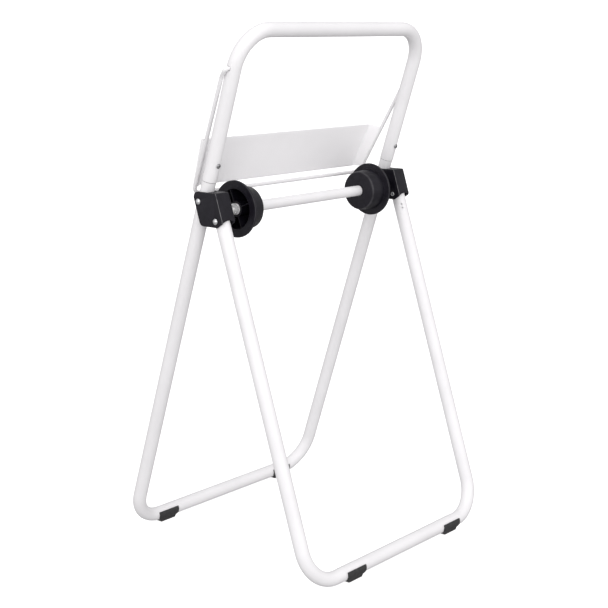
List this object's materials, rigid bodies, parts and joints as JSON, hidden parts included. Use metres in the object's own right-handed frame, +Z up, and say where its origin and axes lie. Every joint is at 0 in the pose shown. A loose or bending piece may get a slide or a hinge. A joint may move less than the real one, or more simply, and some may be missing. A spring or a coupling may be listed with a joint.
{
  "type": "folding paper roll floor stand",
  "caption": "Folding tubular floor stand for a large roll of paper wipes, with a lift-out spindle, sliding roll cones and a hinged wire bail that carries a tear-off plate.",
  "frame": {"origin": "on the floor, at the bottom centre of the whole stand as it stands open", "axes": "+Z up; X along the floor bars and the roll's spindle; -Y towards the front legs and the handle, +Y towards the rear legs and the tear plate"},
  "size_m": [0.5142, 0.4696, 0.9271],
  "materials": {
    "white_powder_coat": "semi-gloss white powder coat",
    "black_moulding": "fine matt moulded texture",
    "foot_plastic": "soft matt",
    "zinc_plate": "bright zinc plate"
  },
  "bodies": {
    "front_stand": {"front_leg_frame": "white_powder_coat", "front_foot_left": "foot_plastic", "front_foot_right": "foot_plastic", "bracket_left": "black_moulding", "bracket_right": "black_moulding", "leg_rivet_left": "zinc_plate", "leg_rivet_right": "zinc_plate", "pivot_rivet_left": "zinc_plate", "pivot_rivet_right": "zinc_plate"},
    "rear_frame": {"rear_leg_frame": "white_powder_coat", "rear_foot_left": "foot_plastic", "rear_foot_right": "foot_plastic", "handle": "white_powder_coat", "handle_screw_left": "zinc_plate", "handle_screw_right": "zinc_plate"},
    "bail": {"tear_bail": "white_powder_coat", "tear_plate": "white_powder_coat"},
    "bushes": {"axle_bush_left": "black_moulding", "axle_bush_right": "black_moulding"},
    "spindle": {"axle_tube": "white_powder_coat", "axle_plug_left": "zinc_plate", "axle_plug_right": "zinc_plate", "axle_stud_left": "zinc_plate", "axle_stud_right": "zinc_plate", "axle_nut_left": "zinc_plate", "axle_nut_right": "zinc_plate"},
    "cone_left": {"roll_cone_left": "black_moulding"},
    "cone_right": {"roll_cone_right": "black_moulding"}
  },
  "joints": [
    {"name": "frame_fold", "type": "hinge", "parent": "front_stand", "child": "rear_frame", "pos_m": [0, 0.0143, 0.6374], "axis": [-1, 0, 0], "range_deg": [0, 35]},
    {"name": "bail_swing", "type": "hinge", "parent": "rear_frame", "child": "bail", "pos_m": [0, -0.0576, 0.8548], "axis": [1, 0, 0], "range_deg": [0, 115]},
    {"name": "spindle_lift", "type": "slide", "parent": "front_stand", "child": "bushes", "axis": [0, 0, 1], "range_m": [0, 0.06]},
    {"name": "spindle_spin", "type": "hinge", "parent": "bushes", "child": "spindle", "pos_m": [0, -0.006, 0.6199], "axis": [1, 0, 0], "continuous": true},
    {"name": "cone_left_slide", "type": "slide", "parent": "spindle", "child": "cone_left", "axis": [1, 0, 0], "range_m": [-0.012, 0.12]},
    {"name": "cone_right_slide", "type": "slide", "parent": "spindle", "child": "cone_right", "axis": [-1, 0, 0], "range_m": [-0.02, 0.12]}
  ]
}
